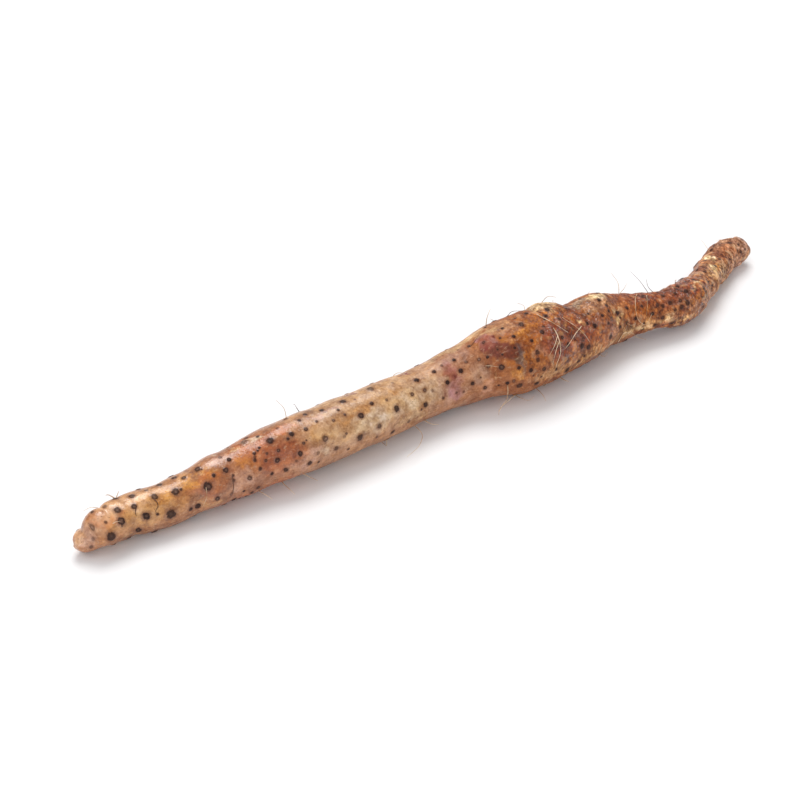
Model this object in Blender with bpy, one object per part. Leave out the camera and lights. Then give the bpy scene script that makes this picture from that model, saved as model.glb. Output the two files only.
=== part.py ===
"""A Chinese yam: one long tuber that lies on the floor.

The growing tip points to -X and the stem end, or neck, to +X. The origin is on the floor, under the
middle of the yam. The skin is unrolled into a flat sheet, filled with points, triangulated there and
rolled up again round a curved centreline. Humps, creases and root scars raise or sink it.
Sizes are in millimetres up to the last step, which makes the mesh in metres.
"""

import math

import bpy
import numpy as np
from mathutils import Vector
from mathutils.geometry import delaunay_2d_cdt

MM = 0.001

# Driving dimensions. The yam is 590 long and 53 wide at the belly.
# Each station gives the centreline's x and y, the radius there, and the gap between skin and floor.
# Where the gap is below zero, the skin is pressed flat against the floor.
STATIONS = (
    (-295, -2, 7.4, 1.8),
    (-285, -2, 8.3, 0.9),
    (-272, -3, 10.6, 1.8),
    (-257, -1, 12.9, 1.2),
    (-246, -2, 14.0, -0.6),
    (-232, -4, 14.3, -1.2),
    (-215, -4, 14.4, 1.2),
    (-200, -6, 15.8, 1.8),
    (-184, -6, 16.6, 1.7),
    (-167, -6, 17.7, 2.2),
    (-143, -8, 19.4, 2.6),
    (-125, -8, 19.2, 2.6),
    (-99, -8, 19.4, 2.6),
    (-71, -7, 18.8, 2.6),
    (-42, -5, 18.0, 2.6),
    (-24, -4, 18.4, 2.2),
    (-5, -4, 19.7, 1.6),
    (12, -5, 22.0, 1.0),
    (27, -9, 25.6, 0.2),
    (46, -10, 26.8, -0.9),
    (66, -11, 26.1, -0.9),
    (89, -10, 22.6, 0.8),
    (112, -8, 20.7, 2.2),
    (136, -7, 16.9, 3.4),
    (158, -11, 14.0, 4.6),
    (177, -15, 13.3, 4.6),
    (197, -14, 13.7, 3.6),
    (227, 0, 11.6, 2.2),
    (252, 14, 12.0, 0.6),
    (268, 22, 11.8, -0.8),
    (284, 23.5, 10.3, 0.6),
    (293.5, 20.5, 8.0, 2.2),
)
TIP_DOME = 8.0
NECK_DOME = 9.0

# Humps: distance along the skin from the tip, angle round it, length, width and height.
# An angle of 0 degrees faces +Y, 90 faces up and 180 faces -Y. The seam is at 270, underneath.
HUMPS = (
    (378, 58, 25, 24, 4.0),
    (424, 72, 24, 20, 1.4),
    (492, 222, 26, 20, 2.0),
    (521, 200, 22, 20, -1.2),
)

# Lobes are balls that swell out of the skin: the centre's x, y and z, and the radius.
LOBES = (
    (-277, -3.5, 15.3, 12.1),
    (-266, -2.5, 15.2, 13.0),
)

# Creases run straight over the unrolled skin: distance and angle at both ends, width and depth.
CREASES = (
    (328, 103, 330, 129, 2.6, 1.0),
    (318, 126, 335, 131, 4.5, 0.8),
)

# Slow waves over the whole skin: how many, how high, and their shortest and longest length along it.
WAVES = 14
WAVE_HEIGHT = 0.15
WAVE_LENGTHS = (22, 70)

# Root scars are low warts: distance from the tip, angle and diameter. These are the ones that show.
SCARS = (
    (12, 179, 2.6), (15, 145, 2.3), (20, 117, 3.1), (25, 81, 2.2), (26, 163, 5.0), (27, 123, 1.3),
    (32, 79, 2.4), (32, 150, 1.3), (33, 139, 4.1), (35, 111, 3.9), (35, 213, 3.4), (40, 68, 3.4),
    (44, 196, 3.8), (45, 123, 3.6), (47, 87, 4.2), (51, 156, 4.9), (54, 56, 3.6), (57, 85, 2.4),
    (57, 219, 5.0), (59, 158, 1.8), (60, 113, 4.4), (67, 168, 6.2), (68, 75, 4.0), (75, 119, 5.0),
    (79, 121, 2.0), (79, 182, 2.8), (81, 73, 3.7), (85, 96, 3.1), (85, 184, 3.8), (95, 94, 3.8),
    (96, 144, 5.7), (97, 100, 1.4), (99, 181, 3.2), (101, 126, 2.6), (107, 185, 2.5), (108, 126, 3.7),
    (110, 89, 2.4), (110, 154, 2.2), (110, 217, 3.7), (111, 143, 1.8), (114, 105, 3.1), (115, 227, 2.4),
    (116, 193, 1.9), (119, 225, 2.4), (121, 61, 1.4), (121, 164, 3.1), (122, 213, 2.9), (126, 201, 2.8),
    (129, 134, 2.4), (130, 128, 1.9), (130, 155, 2.4), (131, 81, 4.4), (131, 121, 2.3), (134, 69, 2.8),
    (134, 119, 1.5), (136, 115, 1.8), (136, 145, 2.3), (138, 179, 2.5), (139, 133, 1.8), (140, 86, 2.2),
    (144, 154, 3.7), (145, 112, 4.6), (147, 136, 2.4), (148, 180, 3.1), (153, 91, 2.0), (155, 122, 2.2),
    (155, 168, 1.8), (158, 116, 3.5), (158, 157, 3.6), (162, 70, 2.9), (162, 141, 2.1), (163, 184, 3.6),
    (164, 138, 1.2), (167, 93, 2.4), (167, 117, 2.8), (169, 169, 2.5), (170, 193, 2.1), (174, 82, 2.8),
    (177, 110, 1.9), (177, 148, 4.1), (184, 177, 3.3), (186, 88, 3.3), (188, 122, 1.9), (191, 159, 2.3),
    (193, 155, 1.6), (193, 190, 2.1), (195, 105, 2.1), (197, 120, 1.9), (202, 89, 4.2), (202, 174, 4.4),
    (205, 167, 2.5), (207, 133, 4.1), (210, 95, 1.5), (215, 189, 2.1), (217, 166, 3.2), (218, 119, 2.7),
    (225, 84, 5.0), (229, 124, 1.9), (229, 198, 3.4), (233, 147, 4.4), (242, 91, 2.1), (242, 189, 2.5),
    (249, 133, 2.8), (253, 173, 1.6), (257, 166, 3.7), (259, 107, 3.6), (260, 136, 2.5), (265, 143, 2.0),
    (272, 168, 2.2), (274, 108, 2.8), (279, 141, 3.3), (282, 103, 2.1), (284, 169, 1.8), (290, 174, 2.0),
    (293, 103, 2.8), (293, 130, 3.4), (298, 56, 2.6), (298, 163, 2.9), (300, 118, 2.2), (302, 82, 1.5),
    (305, 158, 1.4), (307, 182, 3.0), (310, 89, 2.2), (310, 126, 2.6), (317, 145, 2.8), (320, 131, 2.2),
    (322, 105, 2.7), (322, 185, 1.8), (326, 154, 4.1), (327, 125, 1.6), (327, 185, 2.9), (328, 67, 2.3),
    (328, 135, 1.6), (330, 184, 2.6), (330, 108, 1.7), (333, 163, 2.7), (333, 197, 4.6), (334, 92, 2.3),
    (334, 131, 2.1), (336, 114, 2.7), (339, 172, 2.9), (341, 183, 1.3), (345, 100, 3.8), (345, 130, 2.3),
    (345, 160, 2.8), (345, 200, 3.4), (346, 82, 2.2), (346, 149, 3.3), (348, 189, 1.9), (350, 176, 3.3),
    (356, 79, 3.2), (356, 123, 3.3), (359, 115, 2.1), (361, 185, 2.2), (363, 104, 1.8), (364, 160, 2.2),
    (366, 97, 2.9), (368, 140, 2.3), (371, 86, 3.5), (371, 153, 3.1), (372, 199, 4.8), (373, 110, 2.6),
    (379, 131, 2.0), (382, 193, 2.7), (384, 165, 3.9), (387, 90, 1.8), (388, 188, 2.1), (391, 173, 3.8),
    (396, 131, 2.5), (401, 141, 3.5), (402, 115, 1.9), (403, 202, 3.1), (409, 72, 1.9), (411, 130, 2.3),
    (413, 148, 2.2), (413, 175, 3.6), (417, 98, 3.0), (418, 126, 2.1), (419, 114, 2.2),
    (423, 75, 2.3), (425, 166, 3.0), (426, 135, 3.7), (428, 147, 1.6), (440, 128, 2.7), (447, 158, 2.7),
    (455, 128, 2.2), (456, 178, 1.6), (461, 90, 2.3), (463, 154, 2.6), (466, 194, 2.7), (469, 131, 2.7),
    (472, 174, 2.9), (473, 137, 2.8), (476, 103, 3.0), (479, 132, 3.5), (480, 201, 3.7), (481, 157, 2.6),
    (486, 106, 2.6), (486, 154, 3.5), (487, 134, 2.8), (491, 148, 3.9), (492, 106, 2.1), (493, 83, 2.8),
    (495, 113, 3.7), (509, 136, 2.4), (510, 148, 2.0), (530, 97, 2.6), (533, 64, 2.2), (541, 174, 2.2),
    (547, 116, 2.7), (550, 69, 2.4), (558, 114, 2.3), (564, 205, 2.2), (565, 129, 2.0), (570, 62, 2.9),
    (577, 177, 2.7), (587, 99, 3.4), (592, 150, 2.9), (594, 120, 2.0), (599, 146, 2.0), (601, 94, 2.3),
)
# The sides that do not show get scars at random, spaced alike.
OTHER_SCARS = 125
OTHER_SCAR_SIZES = (2.8, 5.2)
HIDDEN_ANGLES = (230, 410)
SCAR_HEIGHT = 0.17
SCAR_CLEARANCE = 1.25
SMALLEST_RAISED = 2.8

# The triangles. Angles on the flat sheet start at the seam, which lies underneath.
SEED = 7
SPACING = 4.8
POLE_RADIUS = 1.5
JITTER = 0.18
SEAM = math.radians(270)
SCAR_SIDES = 6

SKIN_COLOUR = (0.55, 0.32, 0.155, 1)
SKIN_ROUGHNESS = 0.6


def smooth_through(knots, values, at):
    """The values at each place, on a cubic curve that passes through every knot."""
    slopes = np.gradient(values, knots, axis=0)
    i = np.clip(np.searchsorted(knots, at, side="right") - 1, 0, len(knots) - 2)
    gap = (knots[i + 1] - knots[i])[:, None]
    t = (at - knots[i])[:, None] / gap
    return (
        values[i] * (1 + 2 * t) * (1 - t) ** 2
        + values[i + 1] * t**2 * (3 - 2 * t)
        + gap * slopes[i] * t * (1 - t) ** 2
        - gap * slopes[i + 1] * t**2 * (1 - t)
    )


def steps_between(points):
    """How far each point is from the one before it, with 0 for the first."""
    return np.r_[0, np.linalg.norm(np.diff(points, axis=0), axis=1)]


def unit(vectors):
    return vectors / np.linalg.norm(vectors, axis=1)[:, None]


class Body:
    """The smooth yam under its relief: centreline, radius and directions by distance over the skin."""

    def __init__(self):
        x, y, radius, gap = np.array(STATIONS, float).T
        middle = np.c_[x, y, radius + gap]
        knots = np.cumsum(steps_between(middle))
        end = knots[-1]
        turn = np.linspace(0, math.pi / 2, 60)
        tip = TIP_DOME * (1 - np.cos(turn))
        neck = end - NECK_DOME * (1 - np.cos(turn[::-1]))
        s = np.r_[tip, np.arange(TIP_DOME + 0.5, end - NECK_DOME, 0.5), neck]
        self.middle = smooth_through(knots, middle, s)
        dome = np.sqrt(1 - (1 - np.clip(s / TIP_DOME, 0, 1)) ** 2)
        dome *= np.sqrt(1 - (1 - np.clip((end - s) / NECK_DOME, 0, 1)) ** 2)
        self.radius = dome * smooth_through(knots, radius[:, None], s)[:, 0]
        ahead = unit(np.gradient(self.middle, s, axis=0))
        self.side = unit(np.cross((0, 0, 1), ahead))
        self.up = np.cross(ahead, self.side)
        step = steps_between(np.c_[s, self.radius])
        self.along = np.cumsum(step)
        self.ahead = ahead
        self.lean = np.gradient(self.radius, self.along)
        # On the unrolled sheet both directions are in radians, so small shapes keep their form.
        mean_radius = np.maximum(self.radius, POLE_RADIUS / 4)
        self.sheet = np.cumsum(step / mean_radius)

    def at(self, along, column):
        return np.interp(along, self.along, column)

    def at3(self, along, columns):
        return np.stack([self.at(along, columns[:, axis]) for axis in range(3)], axis=-1)

    def skin(self, along, angle):
        """Points on the smooth skin, and the directions straight out of it."""
        across = np.cos(angle)[..., None] * self.at3(along, self.side)
        across = across + np.sin(angle)[..., None] * self.at3(along, self.up)
        lean = np.clip(self.at(along, self.lean), -1, 1)[..., None]
        out = np.sqrt(1 - lean**2) * across - lean * self.at3(along, self.ahead)
        points = self.at3(along, self.middle) + self.at(along, self.radius)[..., None] * across
        return points, out


def turned(angle):
    """The angle brought between half a turn back and half a turn on."""
    return (angle + math.pi) % (2 * math.pi) - math.pi


def bell(distance):
    return np.exp(-(distance**2))


def waves(along, angle):
    """Slow unevenness: waves that run along and a whole number of times round."""
    rng = np.random.default_rng(SEED)
    total = np.zeros_like(along)
    for _ in range(WAVES):
        length = rng.uniform(*WAVE_LENGTHS)
        around = rng.integers(0, 5)
        phase = rng.uniform(0, 2 * math.pi)
        total += WAVE_HEIGHT * np.sin(2 * math.pi * along / length + around * angle + phase)
    return total


def humps(along, angle, radius):
    total = np.zeros_like(along)
    for where, degrees, length, width, height in HUMPS:
        ahead = (along - where) / (length / 2)
        across = turned(angle - math.radians(degrees)) * radius / (width / 2)
        total += height * bell(np.hypot(ahead, across))
    return total


def lobes(points, out):
    """How far out of the skin each ball reaches, measured straight out of it."""
    total = np.zeros(points.shape[:-1])
    for x, y, z, radius in LOBES:
        offset = points - (x, y, z)
        along_out = (offset * out).sum(-1)
        inside = along_out**2 - (offset**2).sum(-1) + radius**2
        reach = np.where(inside > 0, np.sqrt(np.maximum(inside, 0)) - along_out, 0)
        total = np.maximum(total, reach)
    return total


def creases(along, angle, radius):
    total = np.zeros_like(along)
    for start, start_degrees, stop, stop_degrees, width, depth in CREASES:
        turn = math.radians(stop_degrees - start_degrees)
        across = turned(angle - math.radians(start_degrees)) * radius
        run = np.stack([np.full_like(along, stop - start), turn * radius], axis=-1)
        here = np.stack([along - start, across], axis=-1)
        share = np.clip((here * run).sum(-1) / (run * run).sum(-1), 0, 1)
        away = np.linalg.norm(here - share[..., None] * run, axis=-1)
        total -= depth * bell(away / (width / 2))
    return total


def scar_relief(along, angle, radius, scars):
    """Low round warts, each highest in the middle."""
    total = np.zeros_like(along)
    for where, at_angle, size in scars:
        near = np.abs(along - where) < size
        away = np.hypot(along[near] - where, turned(angle[near] - at_angle) * radius[near])
        dome = np.clip(1 - (away / (size / 2)) ** 2, 0, 1)
        total[near] = np.maximum(total[near], SCAR_HEIGHT * size * dome)
    return total


def all_scars(body, rng):
    """The scars that show, then others at random in the gaps on the sides that do not."""
    scars = [(along, math.radians(degrees), size) for along, degrees, size in SCARS]
    wanted = len(scars) + OTHER_SCARS
    while len(scars) < wanted:
        along = rng.uniform(TIP_DOME, body.along[-1] - NECK_DOME)
        angle = math.radians(rng.uniform(*HIDDEN_ANGLES))
        size = rng.uniform(*OTHER_SCAR_SIZES)
        radius = body.at(along, body.radius)
        if abs(turned(angle - SEAM)) * radius < size + SPACING / 2:
            continue
        gaps = [
            math.hypot(along - a, turned(angle - b) * radius) - SCAR_CLEARANCE * (size + other) / 2
            for a, b, other in scars
        ]
        if min(gaps) > 0:
            scars.append((along, angle, size))
    return scars


def row_places(body):
    """Distances of the rows of points round the yam, closer together where it is thin."""
    thick = np.flatnonzero(body.radius > POLE_RADIUS)
    along = body.along[thick[0]]
    stop = body.along[thick[-1]]
    places = []
    while along < stop:
        places.append(along)
        along += 0.87 * min(SPACING, body.at(along, body.radius))
    places[-1] = stop
    return places


def sheet_points(body, scars, rng):
    """Points of the flat sheet as distance and angle from the seam, and how many lie on each edge.

    The first points are the two long edges of the sheet, which meet at the seam.
    """
    rows = row_places(body)
    edge = [(along, 0.0) for along in rows] + [(along, 2 * math.pi) for along in rows]
    inner = []
    for i, along in enumerate(rows):
        radius = body.at(along, body.radius)
        count = max(6, round(2 * math.pi * radius / SPACING))
        places = (np.arange(1, count) + 0.5 * (i % 2)) / count
        places = places[places < 1 - 0.4 / count]
        shift = np.zeros(len(places))
        if 0 < i < len(rows) - 1:
            places = places + rng.uniform(-JITTER, JITTER, len(places)) / count
            shift = rng.uniform(-JITTER, JITTER, len(places)) * min(SPACING, radius)
        inner += zip(along + shift, 2 * math.pi * places)
    inner = np.array(inner)
    for where, at_angle, size in scars:
        radius = body.at(where, body.radius)
        across = turned(inner[:, 1] + SEAM - at_angle) * radius
        inner = inner[np.hypot(inner[:, 0] - where, across) > size / 2 + 0.3 * SPACING]
    for where, at_angle, size in scars:
        radius = body.at(where, body.radius)
        middle = (at_angle - SEAM) % (2 * math.pi)
        spokes = 2 * math.pi * np.arange(SCAR_SIDES) / SCAR_SIDES
        ring = np.c_[where + np.cos(spokes) * size / 2, middle + np.sin(spokes) * size / 2 / radius]
        inner = np.r_[inner, [(where, middle)], ring]
    return np.r_[edge, inner], len(rows)


def sheet_triangles(body, points, rows):
    """Triangles of the flat sheet, with its two long edges joined."""
    flat = np.c_[body.at(points[:, 0], body.sheet), points[:, 1]]
    seam = [(i, i + 1) for i in range(rows - 1)]
    seam += [(rows + i, rows + i + 1) for i in range(rows - 1)]
    found = delaunay_2d_cdt([Vector(p) for p in flat], seam, [], 0, 1e-6)
    origin = [min(came_from) for came_from in found[3]]
    joined = [i - rows if rows <= i < 2 * rows else i for i in origin]
    return [tuple(joined[i] for i in reversed(face)) for face in found[2]]


def closed_by_fans(triangles, along, tip, neck):
    """The triangles, with each open end of the skin joined to the point at its pole."""
    edges = {(t[i], t[(i + 1) % 3]) for t in triangles for i in range(3)}
    rim = sorted((a, b) for a, b in edges if (b, a) not in edges)
    middle = (along[tip] + along[neck]) / 2
    return triangles + [(b, a, tip if along[a] < middle else neck) for a, b in rim]


def yam_mesh():
    body = Body()
    rng = np.random.default_rng(SEED)
    scars = [scar for scar in all_scars(body, rng) if scar[2] >= SMALLEST_RAISED]
    points, rows = sheet_points(body, scars, rng)
    triangles = sheet_triangles(body, points, rows)
    along = np.r_[points[:, 0], 0, body.along[-1]]
    angle = np.r_[points[:, 1] + SEAM, SEAM, SEAM]
    triangles = closed_by_fans(triangles, along, len(points), len(points) + 1)

    skin, out = body.skin(along, angle)
    radius = body.at(along, body.radius)
    relief = waves(along, angle) + humps(along, angle, radius) + creases(along, angle, radius)
    relief += lobes(skin, out) + scar_relief(along, angle, radius, scars)
    skin += relief[:, None] * out
    skin[:, 2] = np.maximum(skin[:, 2], 0)

    used = np.unique(triangles)
    mesh = bpy.data.meshes.new("yam_tuber")
    mesh.from_pydata(skin[used] * MM, [], np.searchsorted(used, triangles).tolist())
    mesh.shade_smooth()
    return mesh


def skin_material():
    material = bpy.data.materials.new("yam_skin")
    material.use_nodes = True
    shader = material.node_tree.nodes["Principled BSDF"]
    shader.inputs["Base Color"].default_value = SKIN_COLOUR
    shader.inputs["Roughness"].default_value = SKIN_ROUGHNESS
    shader.inputs["Metallic"].default_value = 0
    return material


def main():
    for item in list(bpy.data.objects):
        bpy.data.objects.remove(item)
    mesh = yam_mesh()
    mesh.materials.append(skin_material())
    yam = bpy.data.objects.new("yam_tuber", mesh)
    bpy.context.scene.collection.objects.link(yam)


main()
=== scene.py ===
"""The looks of a Chinese yam that lies on a white floor.

A fine skin replaces the plain solid. It keeps the solid's form, made from the same stations, lobes, waves
and root scars, with slightly stronger humps and creases round the knob, and adds pits, lumps and folds. Its
points carry their colour, how damp and rough the skin is and where the scars are, for its material to read.
Hair roots grow out of it. Lengths are in millimetres and angles in degrees, unless a comment says otherwise,
and the meshes are made in metres at the end.
"""

import math

import bpy
import numpy as np
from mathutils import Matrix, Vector, noise
from mathutils.geometry import delaunay_2d_cdt


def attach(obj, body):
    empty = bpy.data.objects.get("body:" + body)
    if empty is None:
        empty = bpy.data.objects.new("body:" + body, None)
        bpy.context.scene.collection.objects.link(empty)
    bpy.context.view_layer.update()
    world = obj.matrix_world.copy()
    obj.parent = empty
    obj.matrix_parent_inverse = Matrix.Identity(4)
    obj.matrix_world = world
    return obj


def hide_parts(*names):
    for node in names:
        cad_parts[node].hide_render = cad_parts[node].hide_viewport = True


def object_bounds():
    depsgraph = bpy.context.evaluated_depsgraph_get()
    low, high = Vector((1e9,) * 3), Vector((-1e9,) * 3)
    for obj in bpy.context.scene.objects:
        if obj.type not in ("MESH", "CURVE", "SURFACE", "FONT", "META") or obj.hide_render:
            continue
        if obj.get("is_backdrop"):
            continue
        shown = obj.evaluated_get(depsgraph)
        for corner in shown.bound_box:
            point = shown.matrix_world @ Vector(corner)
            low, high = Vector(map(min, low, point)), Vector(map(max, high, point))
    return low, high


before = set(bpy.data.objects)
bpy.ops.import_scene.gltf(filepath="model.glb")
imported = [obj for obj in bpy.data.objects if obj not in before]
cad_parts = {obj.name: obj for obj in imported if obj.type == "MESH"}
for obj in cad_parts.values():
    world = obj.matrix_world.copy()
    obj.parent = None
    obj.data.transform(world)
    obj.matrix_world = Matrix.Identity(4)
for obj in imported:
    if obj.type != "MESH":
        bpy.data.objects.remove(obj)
cad_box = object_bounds()

MM = 0.001
SEED = 7

# The camera stands where the photo was taken from, and looks at this point on the yam, in metres.
CAMERA_AZIMUTH = math.radians(-35)
CAMERA_ELEVATION = math.radians(35)
CAMERA_TARGET = (-0.050, -0.002, 0.0196)
CAMERA_DISTANCE = 1.273
CAMERA_LENS = 85
# Lights: the direction each one stands in, how many degrees wide it is, its strength and its colour.
LIGHTS = {
    "back": ((0.28, 0.42, 0.85), 36, 1.7, (1, 0.99, 0.97)),
    "top": ((-0.6, 0.1, 1), 60, 0.65, (1, 1, 1)),
    "front": ((-0.6, -1, 0.5), 60, 0.7, (1, 1, 1)),
}
ROOM_COLOUR = (0.97, 0.98, 1, 1)
ROOM_STRENGTH = 0.47
FLOOR_COLOUR = (0.93, 0.93, 0.94, 1)
FLOOR_GAP = 0.3
FLOOR_SIZE = 8000

# Form. Each station gives the centreline's x and y, the radius there, and the gap between skin and floor.
STATIONS = (
    (-295, -2, 7.4, 1.8), (-285, -2, 8.3, 0.9), (-272, -3, 10.6, 1.8), (-257, -1, 12.9, 1.2),
    (-246, -2, 14, -0.6), (-232, -4, 14.3, -1.2), (-215, -4, 14.4, 1.2), (-200, -6, 15.8, 1.8),
    (-184, -6, 16.6, 1.7), (-167, -6, 17.7, 2.2), (-143, -8, 19.4, 2.6), (-125, -8, 19.2, 2.6),
    (-99, -8, 19.4, 2.6), (-71, -7, 18.8, 2.6), (-42, -5, 18, 2.6), (-24, -4, 18.4, 2.2),
    (-5, -4, 19.7, 1.6), (12, -5, 22, 1), (27, -9, 25.6, 0.2), (46, -10, 26.8, -0.9),
    (66, -11, 26.1, -0.9), (89, -10, 22.6, 0.8), (112, -8, 20.7, 2.2), (136, -7, 16.9, 3.4),
    (158, -11, 14, 4.6), (177, -15, 13.3, 4.6), (197, -14, 13.7, 3.6), (227, 0, 11.6, 2.2),
    (252, 14, 12, 0.6), (268, 22, 11.8, -0.8), (284, 23.5, 10.3, 0.6), (293.5, 20.5, 8, 2.2),
)
# The lengths of the domes that close both ends, the places on each, and the step between all others.
TIP_DOME = 8.0
NECK_DOME = 9.0
DOME_PLACES = 60
BODY_STEP = 0.5

# Humps: distance along the skin from the tip, angle round it, length, width and height.
# An angle of 0 degrees faces +Y, 90 faces up and 180 faces -Y. The seam is at 270, underneath.
HUMPS = (
    (378, 58, 25, 24, 4), (424, 72, 24, 20, 2.2), (492, 222, 26, 20, 2), (521, 200, 22, 20, -1.2),
    (396, 60, 18, 22, -1.2),
)

# Lobes are balls that swell out of the skin: the centre's x, y and z, and the radius.
LOBES = ((-277, -3.5, 15.3, 12.1), (-266, -2.5, 15.2, 13))
# How softly a ball meets the skin in front, how much softer behind, and where that grows, in its radii.
LOBE_CREASE = 0.4
LOBE_BLEND = 3
LOBE_BLEND_REACH = (-0.2, 0.4)

# Creases run straight over the unrolled skin: distance and angle at both ends, width and depth.
CREASES = ((328, 103, 330, 129, 2.6, 1), (318, 126, 335, 131, 4.5, 0.8), (363, 40, 365, 76, 6, 1.6))

# Slow waves over the skin: how many, how high, and their shortest and longest length.
WAVES = 14
WAVE_HEIGHT = 0.15
WAVE_LENGTHS = (22, 70)

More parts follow.
